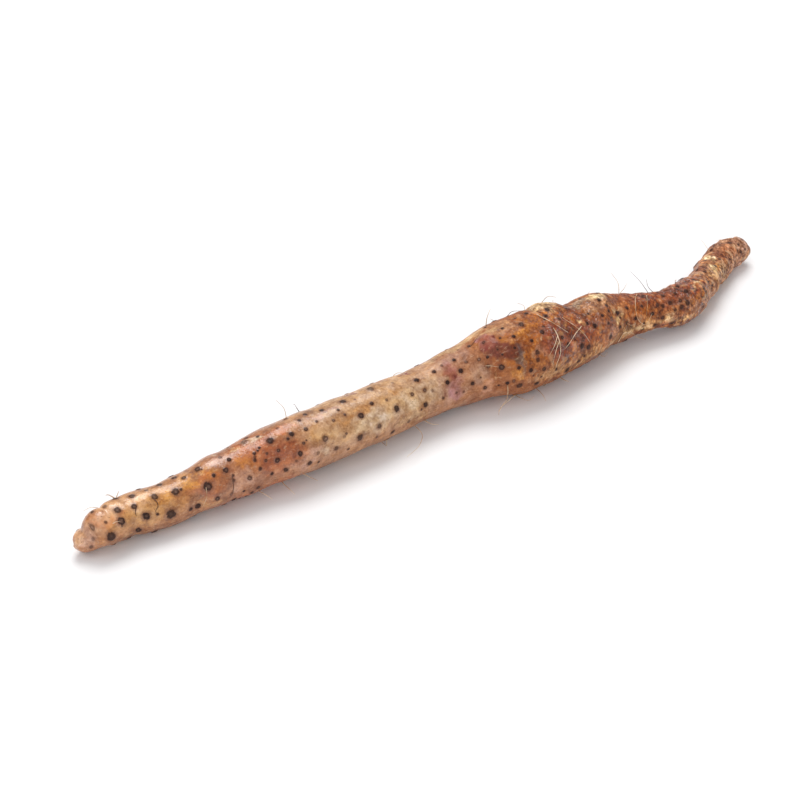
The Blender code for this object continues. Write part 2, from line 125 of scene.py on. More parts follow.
# Root scars are low warts. Those that show: distance from the tip, angle, diameter, how dark the scar is in
# tenths and, if its middle is pale, how pale.
SCARS = (
    (12, 179, 2.6, 5, 2), (15, 145, 2.3, 3), (20, 117, 3.1, 4.5, 8), (25, 81, 2.2, 7, 3),
    (26, 163, 5, 9, 1), (27, 123, 1.3, 6), (32, 79, 2.4, 4.5, 2), (32, 150, 1.3, 5),
    (33, 139, 4.1, 9.5, 6), (35, 111, 3.9, 8.5, 4), (35, 213, 3.4, 9, 4), (40, 68, 3.4, 8),
    (44, 196, 3.8, 9.5, 4.5), (45, 123, 3.6, 9, 3), (47, 87, 4.2, 8), (51, 156, 4.9, 10, 3),
    (54, 56, 3.6, 8, 3), (57, 85, 2.4, 5, 2), (57, 219, 5, 9), (59, 158, 1.8, 9.5),
    (60, 113, 4.4, 8.5, 4), (67, 168, 6.2, 9, 1), (68, 75, 4, 8), (75, 119, 5, 9, 4), (79, 121, 2, 8),
    (79, 182, 2.8, 9), (81, 73, 3.7, 8.5, 6), (85, 96, 3.1, 8.5, 6), (85, 184, 3.8, 9.5),
    (95, 94, 3.8, 8.5, 4), (96, 144, 5.7, 9.5, 3), (97, 100, 1.4, 6), (99, 181, 3.2, 9, 8),
    (101, 126, 2.6, 9.5), (107, 185, 2.5, 4.5, 5), (108, 126, 3.7, 9, 3.5), (110, 89, 2.4, 5, 7),
    (110, 154, 2.2, 5), (110, 217, 3.7, 9.5), (111, 143, 1.8, 7), (114, 105, 3.1, 9.5),
    (115, 227, 2.4, 9), (116, 193, 1.9, 9.5), (119, 225, 2.4, 9.5), (121, 61, 1.4, 6),
    (121, 164, 3.1, 7, 7.5), (122, 213, 2.9, 9), (126, 201, 2.8, 8, 4), (129, 134, 2.4, 8),
    (130, 128, 1.9, 5.5), (130, 155, 2.4, 8), (131, 81, 4.4, 5, 3), (131, 121, 2.3, 9), (134, 69, 2.8, 6),
    (134, 119, 1.5, 9), (136, 115, 1.8, 9), (136, 145, 2.3, 7, 3), (138, 179, 2.5, 9),
    (139, 133, 1.8, 7, 4), (140, 86, 2.2, 9), (144, 154, 3.7, 9, 4), (145, 112, 4.6, 9.5, 1),
    (147, 136, 2.4, 7.5, 5), (148, 180, 3.1, 8.5, 1), (153, 91, 2, 4, 3), (155, 122, 2.2, 8.5),
    (155, 168, 1.8, 4), (158, 116, 3.5, 9.5), (158, 157, 3.6, 9.5, 2), (162, 70, 2.9, 5, 2),
    (162, 141, 2.1, 7.5, 5), (163, 184, 3.6, 8.5), (164, 138, 1.2, 8), (167, 93, 2.4, 8),
    (167, 117, 2.8, 8, 3), (169, 169, 2.5, 3.5, 3), (170, 193, 2.1, 7.5), (174, 82, 2.8, 7.5),
    (177, 110, 1.9, 8, 4), (177, 148, 4.1, 7, 9), (184, 177, 3.3, 6), (186, 88, 3.3, 9),
    (188, 122, 1.9, 7, 6), (191, 159, 2.3, 3), (193, 155, 1.6, 7, 4), (193, 190, 2.1, 7),
    (195, 105, 2.1, 8), (197, 120, 1.9, 8, 4), (202, 89, 4.2, 9), (202, 174, 4.4, 8), (205, 167, 2.5, 2),
    (207, 133, 4.1, 9, 3), (210, 95, 1.5, 4), (215, 189, 2.1, 4), (217, 166, 3.2, 6.5, 2),
    (218, 119, 2.7, 9), (225, 84, 5, 6, 2), (229, 124, 1.9, 5.5, 4), (229, 198, 3.4, 8.5),
    (233, 147, 4.4, 9, 1), (242, 91, 2.1, 2, 4), (242, 189, 2.5, 5, 2), (249, 133, 2.8, 7.5, 5),
    (253, 173, 1.6, 7), (257, 166, 3.7, 9.5, 1), (259, 107, 3.6, 10), (260, 136, 2.5, 7, 5),
    (265, 143, 2, 3, 5), (272, 168, 2.2, 6), (274, 108, 2.8, 9.5), (279, 141, 3.3, 10),
    (282, 103, 2.1, 5, 2), (284, 169, 1.8, 4.5), (290, 174, 2, 4), (293, 103, 2.8, 9.5),
    (293, 130, 3.4, 10), (298, 56, 2.6, 4, 2), (298, 163, 2.9, 9), (300, 118, 2.2, 6, 7),
    (302, 82, 1.5, 3.5), (305, 158, 1.4, 6), (307, 182, 3, 8.5, 3), (310, 89, 2.2, 8.5, 3),
    (310, 126, 2.6, 5.5, 9.5), (317, 145, 2.8, 5, 6), (320, 131, 2.2, 9.5), (322, 105, 2.7, 6, 2),
    (322, 185, 1.8, 9), (326, 154, 4.1, 8.5, 3.5), (327, 125, 1.6, 6), (327, 185, 2.9, 10),
    (328, 67, 2.3, 8.5), (328, 135, 1.6, 8.5), (330, 184, 2.6, 5, 10), (330, 108, 1.7, 6.5),
    (333, 163, 2.7, 9.5), (333, 197, 4.6, 7.5, 1), (334, 92, 2.3, 9), (334, 131, 2.1, 7.5),
    (336, 114, 2.7, 9), (339, 172, 2.9, 9.5), (341, 183, 1.3, 5), (345, 100, 3.8, 7, 3.5),
    (345, 130, 2.3, 9), (345, 160, 2.8, 5), (345, 200, 3.4, 8.5), (346, 82, 2.2, 3.5),
    (346, 149, 3.3, 5.5, 1), (348, 189, 1.9, 4), (350, 176, 3.3, 6, 2), (356, 79, 3.2, 8.5),
    (356, 123, 3.3, 7, 2), (359, 115, 2.1, 3.5), (361, 185, 2.2, 7.5), (363, 104, 1.8, 5),
    (364, 160, 2.2, 5.5, 3), (366, 97, 2.9, 8.5), (368, 140, 2.3, 5, 4), (371, 86, 3.5, 9),
    (371, 153, 3.1, 9), (372, 199, 4.8, 7.5), (373, 110, 2.6, 8, 3), (379, 131, 2, 6, 3),
    (382, 193, 2.7, 8), (384, 165, 3.9, 8, 1), (387, 90, 1.8, 4), (388, 188, 2.1, 6),
    (391, 173, 3.8, 7.5, 1), (396, 131, 2.5, 9.5), (401, 141, 3.5, 8.5), (402, 115, 1.9, 7),
    (403, 202, 3.1, 7.5), (409, 72, 1.9, 8.5), (411, 130, 2.3, 9), (413, 148, 2.2, 5.5),
    (413, 175, 3.6, 6.5), (417, 98, 3, 9.5), (418, 126, 2.1, 8.5), (419, 114, 2.2, 9.5),
    (423, 75, 2.3, 5), (425, 166, 3, 9), (426, 135, 3.7, 8.5), (428, 147, 1.6, 7), (440, 128, 2.7, 9),
    (447, 158, 2.7, 8.5), (455, 128, 2.2, 6, 2), (456, 178, 1.6, 8.5), (461, 90, 2.3, 8),
    (463, 154, 2.6, 8.5), (466, 194, 2.7, 6), (469, 131, 2.7, 4.5, 2), (472, 174, 2.9, 7, 1),
    (473, 137, 2.8, 7), (476, 103, 3, 8), (479, 132, 3.5, 6.5), (480, 201, 3.7, 8.5),
    (481, 157, 2.6, 4.5), (486, 106, 2.6, 8), (486, 154, 3.5, 7.5), (487, 134, 2.8, 8, 2),
    (491, 148, 3.9, 10, 1), (492, 106, 2.1, 5), (493, 83, 2.8, 8.5), (495, 113, 3.7, 9),
    (509, 136, 2.4, 5), (510, 148, 2, 7), (530, 97, 2.6, 9.5), (533, 64, 2.2, 9), (541, 174, 2.2, 5),
    (547, 116, 2.7, 8.5), (550, 69, 2.4, 9), (558, 114, 2.3, 5.5), (564, 205, 2.2, 5), (565, 129, 2, 6),
    (570, 62, 2.9, 7.5), (577, 177, 2.7, 8), (587, 99, 3.4, 8), (592, 150, 2.9, 7), (594, 120, 2, 8),
    (599, 146, 2, 5), (601, 94, 2.3, 5),
)
# The hidden sides get scars at random, spaced alike.
OTHER_SCARS = 125
OTHER_SCAR_SIZES = (2.8, 5.2)
OTHER_SCAR_DARKNESS = (0.5, 1)
OTHER_SCAR_PALENESS = (-0.9, 0.8)
HIDDEN_ANGLES = (230, 410)
SCAR_SPACE = 2.4
SCAR_CLEARANCE = 1.25
# Heights and depths are shares of a scar's diameter, its other measures shares of its radius.
SCAR_HEIGHT = 0.136
SCAR_SLOPE = (0.45, 1.2)
PIT_DEPTH = 0.12
PIT_RADIUS = 0.4
SCAR_REACH = 3.0
# A scar's points lie on rings: how far out each ring is, and how many points it has.
SCAR_RINGS = ((0.3, 7), (0.65, 10), (0.95, 14), (1.3, 16))

# The skin grows rough towards the neck, and in these places: distance, angle, length, width and tenths.
NECK_START = 395
NECK_FULL = 480
ROUGH = ((352, 140, 40, 80, 5), (382, 135, 60, 100, 8.5), (428, 125, 60, 80, 7))
# Lumps: their size and height on smooth skin and on rough skin. Folds run across the yam.
SMOOTH_LUMPS = ((7, 0.1), (2.6, 0.05))
ROUGH_LUMPS = ((12, 0.6), (4.5, 0.4), (2.3, 0.25))
FOLD_SIZE = 5.2
FOLD_STRETCH = 1.2
FOLD_SLANT = 0.35
FOLD_HEIGHT = 0.6
FOLD_SWING = 2.6
FOLD_LOW = 0.6

# The fine skin's triangles: the space between points of a row, and in shares of it the space between rows,
# the gap before the seam and the random shift. The gap round a scar is a share of its radius.
SPACING = 1.02
ROW_SHARE = 0.87
SEAM_GAP = 0.4
JITTER = (-0.15, 0.15)
RING_GAP = 0.2
# A row or a hair has this many points or more. Rows end where the body is thinner than the radius.
FEWEST = 6
POLE_RADIUS = 0.6
# Angles on the flat sheet start at the seam.
SEAM = math.radians(270)

# Colours as they look on the yam in even light.
SEEN = {
    "clay": (172, 118, 86), "ochre": (188, 132, 84), "sand": (190, 147, 110), "dusk": (176, 130, 104),
    "russet": (164, 100, 56), "buff": (184, 128, 96), "rose": (162, 112, 86), "tan": (196, 150, 104),
    "peach": (214, 166, 128), "pink": (206, 158, 134), "gold": (202, 138, 72), "amber": (188, 104, 34),
    "rust": (140, 77, 35), "grey": (160, 136, 118), "neck": (160, 95, 65), "purple": (158, 94, 84),
    "mauve": (172, 122, 114), "plum": (120, 60, 60), "umber": (110, 66, 38), "cream": (228, 192, 146),
    "pale": (236, 214, 186), "slate": (104, 94, 92),
}
# Even light brings a plain colour up to this share of itself, and its shine adds a little white.
EVEN_LIGHT = 0.95
EVEN_SHINE = 0.038
DARKEST = 0.01

# The skin's plain colour by distance from the tip. Low on the sides it turns towards another.
ZONES = (
    (0, "clay"), (50, "ochre"), (105, "clay"), (145, "clay"), (185, "sand"), (250, "sand"), (285, "dusk"),
    (335, "russet"), (390, "russet"), (420, "clay"), (455, "russet"), (495, "clay"), (535, "buff"),
    (600, "buff"),
)
LOW_COLOUR = "rose"
LOW_SHARE = 0.6
LOW_REACH = (-0.5, 0.3)

# Patches of colour, laid over each other in this order: distance, angle, length, width, and strength in
# tenths. Some are painted highlight or painted shade, as noted. Each one has a twin at random on the hidden
# sides.
PATCHES = {
    "tan": (
        (39, 205, 20, 4, 4), (52, 150, 40, 14, 5), (95, 193, 20, 4, 4), (178, 133, 21, 8, 6),
        (234, 131, 22, 7, 6), (252, 150, 24, 12, 5), (375, 190, 60, 12, 5), (445, 186, 50, 12, 6),
        (552, 133, 8, 10, 4),
    ),
    # Peach: the first four, along the top of the tip where the sheen falls, are painted highlight. The
    # others are the skin's own peach.
    "peach": (
        (6, 103, 5, 9, 7), (16, 98, 30, 12, 7), (48, 100, 40, 12, 6), (86, 102, 14, 10, 3),
        (334, 86, 16, 14, 5), (412, 104, 26, 12, 5), (530, 140, 40, 26, 3), (572, 130, 36, 18, 3),
        (572, 66, 30, 9, 5), (589, 52, 8, 5, 5),
    ),
    # Pink: the one at 521 mm is a painted glint. The others are the skin's own pink.
    "pink": (
        (9, 157, 10, 6, 3.5), (13, 121, 8, 8, 5), (108, 99, 21, 6, 5), (116, 161, 15, 13, 6),
        (156, 184, 20, 7, 5), (164, 162, 13, 8, 5), (180, 99, 17, 3, 7), (311, 179, 10, 7, 4),
        (353, 151, 13, 7, 4), (418, 167, 11, 9, 4), (521, 95, 5, 3, 8), (598, 106, 14, 18, 6),
    ),
    "gold": (
        (65, 113, 17, 8, 7), (66, 124, 10, 5, 5), (90, 115, 21, 9, 9), (124, 122, 10, 7, 9),
        (128, 100, 20, 10, 5), (197, 132, 11, 5, 4), (211, 124, 15, 5, 4.5), (239, 117, 7, 4, 4),
        (252, 139, 12, 5, 3.5), (331, 120, 7, 11, 6), (332, 122, 6, 10, 5), (332, 173, 6, 7, 4),
        (336, 152, 6, 9, 4), (341, 112, 11, 7, 2.5), (351, 102, 7, 7, 4), (369, 105, 6, 11, 9),
        (376, 176, 10, 7, 8), (377, 176, 11, 5, 7), (387, 189, 7, 4, 3), (396, 146, 4, 5, 9),
        (422, 134, 4, 4, 9), (489, 151, 3, 3, 6), (495, 149, 6, 4, 8), (503, 140, 10, 10, 5),
        (546, 116, 14, 12, 6),
    ),
    "amber": (
        (23, 91, 8, 5, 3), (28, 125, 12, 6, 3.5), (92, 140, 22, 12, 4), (96, 127, 9, 6, 6),
        (102, 154, 10, 8, 3.5), (124, 93, 11, 5, 6), (132, 108, 26, 20, 5), (146, 150, 30, 16, 6.5),
        (153, 98, 16, 7, 6), (237, 66, 18, 2, 4.5), (490, 112, 28, 12, 4), (359, 157, 11, 13, 4),
        (374, 145, 11, 11, 5), (391, 148, 12, 11, 6), (485, 164, 5, 3, 7), (502, 133, 6, 5, 9),
        (516, 119, 3, 6, 7), (580, 122, 13, 12, 4.5),
    ),
    # Rust: mostly the skin's own, but those along the neck's upper edge, from 452 to 512 mm at about 70 to
    # 90 degrees, and the one low on the belly at 384 mm are painted shade.
    "rust": (
        (95, 154, 7, 6, 4), (109, 129, 5, 4, 3), (134, 106, 24, 16, 4.5), (144, 138, 22, 14, 5),
        (273, 141, 2, 3, 6), (324, 146, 13, 4, 3.5), (332, 120, 12, 14, 3.5), (361, 127, 9, 6, 7),
        (364, 150, 20, 20, 6), (369, 126, 20, 16, 6), (384, 166, 34, 16, 4), (390, 140, 19, 11, 5),
        (414, 157, 6, 6, 5), (416, 119, 9, 3, 3), (432, 102, 11, 4, 4.5), (452, 88, 40, 20, 6),
        (472, 75, 14, 3, 4), (482, 86, 60, 22, 5.5), (504, 71, 12, 4, 6), (512, 88, 14, 8, 5),
        (516, 118, 3, 7, 6), (529, 127, 5, 6, 8), (531, 76, 6, 5, 6), (541, 85, 6, 9, 8),
    ),
    "grey": (
        (211, 171, 13, 5, 3), (306, 146, 18, 13, 3.5), (402, 81, 19, 8, 9), (404, 114, 17, 5, 4),
        (511, 154, 4, 16, 8), (543, 170, 6, 12, 5), (585, 214, 8, 3, 5), (598, 146, 6, 20, 3),
    ),
    "neck": ((446, 153, 18, 19, 7), (471, 117, 23, 14, 5), (568, 98, 18, 18, 7)),
    "purple": (
        (144, 105, 5, 2, 4), (193, 96, 12, 2, 5), (285, 108, 6, 5, 5), (285, 123, 12, 9, 7),
        (324, 111, 12, 14, 8),
    ),
    "mauve": ((284, 160, 12, 15, 10), (322, 92, 6, 5, 8)),
    "plum": (
        (210, 65, 8, 1, 8), (256, 75, 11, 2, 9), (273, 164, 3, 3, 6), (287, 135, 7, 3, 6),
        (320, 116, 9, 3, 4), (321, 119, 7, 4, 6), (329, 103, 2, 3, 10),
    ),
    # Umber: the first three darken the creases by the knob with painted shade. The rest are the skin's own
    # dark patches.
    "umber": (
        (330, 132, 22, 6, 8), (331, 138, 8, 6, 8), (328, 125, 4, 12, 7), (356, 127, 7, 9, 2.5),
        (364, 142, 22, 26, 3), (387, 92, 3, 5, 4), (404, 154, 3, 13, 7), (470, 137, 10, 3, 5),
        (484, 132, 11, 10, 6), (564, 141, 3, 7, 7), (566, 110, 3, 11, 7), (578, 60, 4, 8, 4),
    ),
    # Cream: those along the top, over the knob and the belly, at angles under about 110 degrees, are partly
    # painted highlight. Those low on the sides are the skin's own cream.
    "cream": (
        (121, 93, 2, 2, 8), (246, 188, 26, 7, 4), (248, 160, 8, 8, 3.5), (320, 164, 2, 7, 5),
        (302, 66, 50, 9, 5.5), (328, 83, 15, 3, 5), (374, 66, 22, 18, 8), (374, 126, 2, 4, 4),
        (415, 200, 18, 5, 3.5), (419, 86, 14, 5, 10), (426, 125, 7, 2, 9), (427, 150, 6, 5, 8),
        (440, 189, 12, 6, 5), (450, 197, 15, 5, 6), (475, 186, 9, 6, 5), (489, 197, 12, 5, 4),
        (536, 114, 14, 14, 5), (541, 106, 8, 11, 10), (552, 162, 14, 12, 3.5), (557, 76, 7, 9, 10),
    ),
    # Pale: the thin ones along the top of the tip and those at 388, 501 and 509 mm are painted glints. The
    # others are the skin's own pale streaks.
    "pale": (
        (111, 80, 4, 2, 5), (134, 84, 11, 2, 6), (138, 93, 11, 4, 6), (175, 176, 11, 5, 3),
        (204, 155, 9, 5, 3.5), (215, 150, 30, 9, 4.5), (252, 138, 40, 14, 3), (354, 134, 3, 5, 5),
        (388, 121, 3, 4, 8), (501, 111, 6, 2, 7), (509, 104, 6, 5, 9), (551, 163, 3, 6, 5),
    ),
    "slate": ((335, 148, 5, 22, 7.5), (600, 60, 8, 12, 3)),
}
# Where the skin is damp and shines, in the same way.
WET = (
    (372, 140, 34, 46, 10), (398, 120, 34, 34, 9), (408, 148, 30, 30, 8), (430, 130, 30, 40, 5.5),
    (130, 82, 40, 22, 4), (112, 100, 30, 24, 3.5), (148, 100, 26, 26, 3), (350, 140, 20, 40, 4),
    (480, 115, 60, 40, 5.5), (455, 100, 40, 30, 4), (505, 100, 40, 36, 10), (540, 90, 40, 30, 6),
)
# A patch is whole up to the first share of its half size and gone at the second.
PATCH_EDGE = (0.6, 1.5)
TWIN_SHIFT = (-20, 20)
# The edges of patches wander by noise: its size and how far it moves them. Across it is read elsewhere.
WANDERS = ((10, 5), (3.5, 3))
ELSEWHERE = 7
# The skin is lighter and darker in blotches, more so where it is rough: their size and strength.
MOTTLES = ((16, 1.3), (5, 1.3), (1.5, 0.9))
ROUGH_MOTTLES = ((8, 2.4), (3.2, 2.6), (1.3, 2.9))
# Where the skin is darker its green fades faster than its red, and its blue faster still.
FADING = (1, 1.35, 1.7)

# Hair roots: 1 for a pale and 0 for a dark one, thickness, and a path of distance, angle and height.
HAIRS = (
    (1, 0.55, ((330, 58, 0), (333, 56, 4), (338, 54, 9))),
    (0, 0.35, ((310, 93, 0), (316, 89, 0.5), (322, 84, 0.3))),
    (0, 0.45, ((347, 58, 0), (352, 56, 1.2), (357, 64, 0.6))),
    (1, 0.4, ((359, 66, 0), (361, 58, 3), (358, 54, 6))),
    (1, 0.5, ((361, 90, 0.8), (365, 112, 1.5), (370, 128, 1.2), (373, 135, 0.2))),
    (1, 0.4, ((376, 109, 0.3), (381, 132, 1.2), (387, 150, 1.4), (392, 163, 0.8))),
    (1, 0.5, ((386, 133, 2), (379, 141, 1.6), (371, 151, 0.8), (368, 156, 0.1))),
    (1, 0.55, ((365, 122, 0), (365, 135, 0.8), (363, 160, 1), (361, 178, 0.8), (361, 186, 0.2))),
    (1, 0.45, ((365, 135, 0.8), (360, 147, 1.2), (355, 158, 0.6))),
    (1, 0.4, ((364, 145, 1), (359, 160, 1.3), (357, 172, 0.8))),
    (1, 0.4, ((457, 82, 1), (451, 110, 1.6), (449, 163, 1.2), (457, 180, 0.8), (462, 155, 0.5))),
    (1, 0.35, ((463, 96, 1), (460, 125, 1.5), (458, 153, 0.5))),
    (1, 0.45, ((431, 215, 0.5), (431, 184, 1.2), (440, 188, 1.5), (452, 215, 2), (458, 218, 6))),
    (1, 0.35, ((435, 165, 0.6), (440, 169, 0.9), (446, 171, 0.8))),
    (0, 0.4, ((469, 62, 0), (463, 60, 9), (455, 62, 16))),
    (0, 0.4, ((473, 63, 0), (470, 60, 5), (469, 57, 10))),
    (1, 0.4, ((446, 63, 0), (449, 62, 4), (452, 61, 8))),
    (1, 0.45, ((445, 64, 0), (445, 62, 7), (439, 64, 15))),
    (1, 0.5, ((327, 190, 0), (326, 205, 5), (322, 200, 12), (316, 198, 17))),
    (1, 0.55, ((335, 228, 0), (328, 215, 5), (319, 210, 12), (314, 208, 16))),
    (1, 0.45, ((351, 226, 0), (349, 212, 8), (346, 207, 13))),
    (1, 0.5, ((258, 214, 0), (260, 212, 3), (262, 216, 5), (264, 206, 8))),
    (1, 0.4, ((251, 222, 0), (249, 210, 8), (240, 203, 16), (226, 200, 20))),
    (1, 0.4, ((164, 60, 0), (165, 56, 6), (162, 54, 13))),
    (1, 0.7, ((41, 52, 0), (40, 50, 2.4), (38, 56, 4))),
    (1, 0.6, ((42, 50, 0), (43, 51, 1.5), (44, 53, 2.8))),
    (1, 0.35, ((29, 66, 0), (26, 60, 2), (22, 58, 3))),
    (0, 0.6, ((59, 117, 0.4), (60, 128, 0.3), (60, 140, 0.3), (58, 148, 0.3), (59, 157, 0.4))),
    (0, 0.55, ((46, 128, 0.3), (44, 140, 0.3), (44, 152, 0.2))),
    (0, 0.5, ((110, 143, 0.2), (109, 165, 0.2), (108, 185, 0.2))),
    (1, 0.35, ((95, 145, 0.6), (93, 165, 0.9), (90, 189, 0.4))),
    (1, 0.45, ((29, 133, 0.1), (31, 134, 0.6), (32, 137, 0.9))),
    (1, 0.5, ((128, 224, 0), (130, 214, 5), (132, 210, 10))),
    (1, 0.5, ((146, 226, 0), (148, 216, 6), (150, 212, 11))),
    (1, 0.45, ((162, 226, 0), (165, 218, 5), (167, 214, 8))),
    (1, 0.35, ((313, 142, 0.2), (319, 144, 0.8), (325, 152, 0.4))),
    (1, 0.35, ((575, 38, 0), (576, 36, 5), (577, 36, 9))),
    (1, 0.6, ((371, 222, 0), (372, 218, 3), (373, 214, 6))),
)
# The random ones. Drift and rise are shares of their length, and the turn goes round the yam.
OTHER_HAIRS = 40
OTHER_HAIR_START = 150
OTHER_HAIR_LENGTHS = (5, 18)
OTHER_HAIR_DRIFT = (-0.7, 0.7)
OTHER_HAIR_RISE = (0.1, 0.5)
OTHER_HAIR_TURN = (-40, 40)
OTHER_HAIR_STEPS = (0, 0.35, 0.7, 1)
OTHER_HAIR_THICKNESS = (0.3, 0.55)
DARK_SHARE = 0.25
# Every hair is a tube. It narrows from the first share of its thickness to the second, and comes to wiggle
# over its first millimetres.
HAIR_SIDES = 6
HAIR_STEP = 1.1
HAIR_TAPER = (1.15, 0.45)
HAIR_WIGGLE = (-0.5, 0.5)
WIGGLE_START = 4
# A direction that no hair follows, to set the tubes' sides by.
HAIR_ASIDE = (0.31, 0.17, 0.93)
HAIR_COLOURS = {"pale": ((236, 212, 180), (186, 146, 106)), "dark": ((110, 70, 48), (64, 40, 30))}
HAIR_SHADE_SIZE = 6


def smooth_through(knots, values, at):
    """The values at each place, on a cubic curve that passes through every knot."""
    slopes = np.gradient(values, knots, axis=0)
    i = np.clip(np.searchsorted(knots, at, side="right") - 1, 0, len(knots) - 2)
    gap = (knots[i + 1] - knots[i])[:, None]
    t = (at - knots[i])[:, None] / gap
    return (
        values[i] * (1 + 2 * t) * (1 - t) ** 2
        + values[i + 1] * t**2 * (3 - 2 * t)
        + gap * slopes[i] * t * (1 - t) ** 2
        - gap * slopes[i + 1] * t**2 * (1 - t)
    )


def steps_between(points):
    """How far each point is from the one before it, with 0 for the first."""
    return np.r_[0, np.linalg.norm(np.diff(points, axis=0), axis=1)]


def unit(vectors):
    return vectors / np.linalg.norm(vectors, axis=1)[:, None]


class Body:
    """The smooth yam under its relief: centreline, radius and directions by distance over the skin."""

    def __init__(self):
        x, y, radius, gap = np.array(STATIONS, float).T
        middle = np.c_[x, y, radius + gap]
        knots = np.cumsum(steps_between(middle))
        end = knots[-1]
        turn = np.linspace(0, math.pi / 2, DOME_PLACES)
        tip = TIP_DOME * (1 - np.cos(turn))
        neck = end - NECK_DOME * (1 - np.cos(turn[::-1]))
        places = np.r_[tip, np.arange(TIP_DOME + BODY_STEP, end - NECK_DOME, BODY_STEP), neck]
        self.middle = smooth_through(knots, middle, places)
        dome = np.sqrt(1 - (1 - np.clip(places / TIP_DOME, 0, 1)) ** 2)
        dome *= np.sqrt(1 - (1 - np.clip((end - places) / NECK_DOME, 0, 1)) ** 2)
        self.radius = dome * smooth_through(knots, radius[:, None], places)[:, 0]
        self.ahead = unit(np.gradient(self.middle, places, axis=0))
        self.side = unit(np.cross((0, 0, 1), self.ahead))
        self.up = np.cross(self.ahead, self.side)
        step = steps_between(np.c_[places, self.radius])
        self.along = np.cumsum(step)
        self.lean = np.gradient(self.radius, self.along)
        # On the unrolled sheet both directions are in radians, so small shapes keep their form.
        mean_radius = np.maximum(self.radius, POLE_RADIUS / 4)
        self.sheet = np.cumsum(step / mean_radius)

    def at(self, along, column):
        return np.interp(along, self.along, column)

    def at3(self, along, columns):
        return np.stack([self.at(along, columns[:, axis]) for axis in range(3)], axis=-1)

    def skin(self, along, angle):
        """Points on the smooth skin, and the directions straight out of it."""
        across = np.cos(angle)[..., None] * self.at3(along, self.side)
        across = across + np.sin(angle)[..., None] * self.at3(along, self.up)
        lean = np.clip(self.at(along, self.lean), -1, 1)[..., None]
        out = np.sqrt(1 - lean**2) * across - lean * self.at3(along, self.ahead)
        points = self.at3(along, self.middle) + self.at(along, self.radius)[..., None] * across
        return points, out


def turned(angle):
    """The angle brought between half a turn back and half a turn on."""
    return (angle + math.pi) % (2 * math.pi) - math.pi


def bell(distance):
    return np.exp(-(distance**2))


def eased(value, low, high):
    """0 below low, 1 above high, and a smooth rise between them."""
    t = np.clip((value - low) / (high - low), 0, 1)
    return t * t * (3 - 2 * t)


def waves(along, angle):
    """Slow unevenness: waves that run along and a whole number of times round."""
    rng = np.random.default_rng(SEED)
    total = np.zeros_like(along)
    for _ in range(WAVES):
        length = rng.uniform(*WAVE_LENGTHS)
        around = rng.integers(0, 5)
        phase = rng.uniform(0, 2 * math.pi)
        total += WAVE_HEIGHT * np.sin(2 * math.pi * along / length + around * angle + phase)
    return total


def spread(along, angle, radius, place):
    """How far each point is from a patch's middle, in shares of half its length and width."""
    where, degrees, length, width = place
    ahead = (along - where) / (length / 2)
    across = turned(angle - math.radians(degrees)) * radius / (width / 2)
    return np.hypot(ahead, across)


def humps(along, angle, radius):
    total = np.zeros_like(along)
    for *place, height in HUMPS:
        total += height * bell(spread(along, angle, radius, place))
    return total


def lobes(points, out):
    """How far out of the skin each ball reaches, with a sharp crease before it and none behind it."""
    total = np.zeros(points.shape[:-1])
    for x, y, z, radius in LOBES:
        offset = points - (x, y, z)
        along_out = (offset * out).sum(-1)
        inside = along_out**2 - (offset**2).sum(-1) + radius**2
        depth = radius - np.linalg.norm(offset, axis=-1)
        reach = np.where(depth > 0, np.sqrt(np.maximum(inside, 0)) - along_out, depth)
        soft = LOBE_CREASE + LOBE_BLEND * eased(offset[..., 0] / radius, *LOBE_BLEND_REACH)
        rounding = np.maximum(soft - np.abs(reach), 0) ** 2 / (4 * soft)
        total = np.maximum(total, np.maximum(reach, 0) + rounding)
    return total


def creases(along, angle, radius):
    total = np.zeros_like(along)
    for start, start_degrees, stop, stop_degrees, width, depth in CREASES:
        turn = math.radians(stop_degrees - start_degrees)
        across = turned(angle - math.radians(start_degrees)) * radius
        run = np.stack([np.full_like(along, stop - start), turn * radius], axis=-1)
        here = np.stack([along - start, across], axis=-1)
        share = np.clip((here * run).sum(-1) / (run * run).sum(-1), 0, 1)
        away = np.linalg.norm(here - share[..., None] * run, axis=-1)
        total -= depth * bell(away / (width / 2))
    return total


def stretch(body, along, angle):
    """How much skin one millimetre of distance covers there: more than one outside of a bend."""
    ends = [body.skin(along + far, angle)[0] for far in (-1, 1)]
    return np.linalg.norm(ends[1] - ends[0]) / 2


def all_scars(body, rng):
    """The scars that show, then others at random in the gaps on the hidden sides."""
    scars = [(along, math.radians(degrees), size) for along, degrees, size, *_ in SCARS]
    wanted = len(scars) + OTHER_SCARS
    while len(scars) < wanted:
        along = rng.uniform(TIP_DOME, body.along[-1] - NECK_DOME)
        angle = math.radians(rng.uniform(*HIDDEN_ANGLES))
        size = rng.uniform(*OTHER_SCAR_SIZES)
        radius = body.at(along, body.radius)
        if abs(turned(angle - SEAM)) * radius < size + SCAR_SPACE:
            continue
        gaps = [
            math.hypot(along - a, turned(angle - b) * radius) - SCAR_CLEARANCE * (size + other) / 2
            for a, b, other in scars
        ]
        if min(gaps) > 0:
            scars.append((along, angle, size))
    return [(along, angle, size, stretch(body, along, angle)) for along, angle, size in scars]


def scar_field(along, angle, radius, scars):
    """How far each point is from the nearest scar's middle, in that scar's radii, and its number."""
    nearest = np.full(len(along), SCAR_REACH)
    which = np.zeros(len(along), int)
    for number, (where, at_angle, size, step) in enumerate(scars):
        ahead = (along - where) * step
        near = np.flatnonzero(np.abs(ahead) < SCAR_REACH * size / 2)
        away = np.hypot(ahead[near], turned(angle[near] - at_angle) * radius[near]) / (size / 2)
        closer = away < nearest[near]
        nearest[near[closer]] = away[closer]
        which[near[closer]] = number
    return nearest, which


